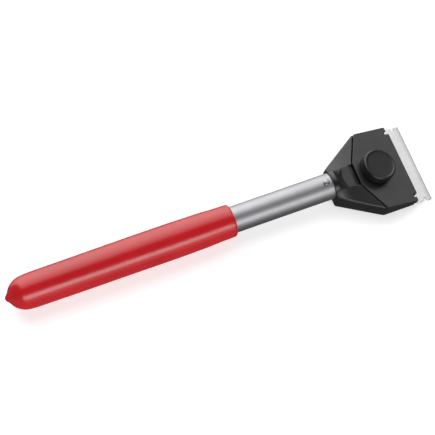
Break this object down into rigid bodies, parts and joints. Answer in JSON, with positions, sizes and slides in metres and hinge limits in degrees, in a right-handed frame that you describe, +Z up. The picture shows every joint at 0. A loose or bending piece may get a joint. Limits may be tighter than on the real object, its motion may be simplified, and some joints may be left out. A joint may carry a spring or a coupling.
{
  "type": "razor scraper",
  "caption": "Long-handled razor scraper: a gripped tube handle, a moulded head and a knob-tightened plate that clamps a double-edged blade.",
  "frame": {"origin": "centre of the tool's bounding box in X and Y, on the surface it lies on", "axes": "+X along the handle towards the blade, +Y to the left of the blade edge, +Z up, the side the knob is on"},
  "size_m": [0.3318, 0.0644, 0.027],
  "materials": {
    "tube_metal": "satin plated",
    "grip_vinyl": "glossy soft vinyl",
    "head_moulding": "fine-textured moulding",
    "rivet_metal": "plated",
    "stud_metal": "plated",
    "plate_moulding": "fine-textured moulding",
    "washer_metal": "plated",
    "knob_moulding": "satin moulding",
    "insert_brass": "turned",
    "blade_steel": "ground"
  },
  "bodies": {
    "handle": {"handle_tube": "tube_metal", "grip_sleeve": "grip_vinyl", "head_body": "head_moulding", "handle_rivet": "rivet_metal", "clamp_stud": "stud_metal"},
    "washer": {"knob_washer": "washer_metal"},
    "knob": {"clamp_knob": "knob_moulding", "knob_insert": "insert_brass"},
    "plate": {"clamp_plate": "plate_moulding"},
    "blade": {"blade": "blade_steel"}
  },
  "joints": [
    {"name": "knob_rise", "type": "slide", "parent": "handle", "child": "washer", "axis": [0.2588, 0, 0.9659], "range_m": [0, 0.002]},
    {"name": "knob_turn", "type": "hinge", "parent": "washer", "child": "knob", "pos_m": [0.13089, 0, 0.0142], "axis": [0.2588, 0, 0.9659], "range_deg": [0, 720]},
    {"name": "plate_lift", "type": "slide", "parent": "handle", "child": "plate", "axis": [0.2588, 0, 0.9659], "range_m": [0, 0.0018]},
    {"name": "blade_slide", "type": "slide", "parent": "handle", "child": "blade", "axis": [0.9659, 0, -0.2588], "range_m": [0, 0.02]}
  ],
  "couplings": [
    {"joint": "knob_turn", "follows": "knob_rise", "rad_per_m": 6283.2},
    {"joint": "plate_lift", "follows": "knob_rise", "ratio": 0.9}
  ]
}
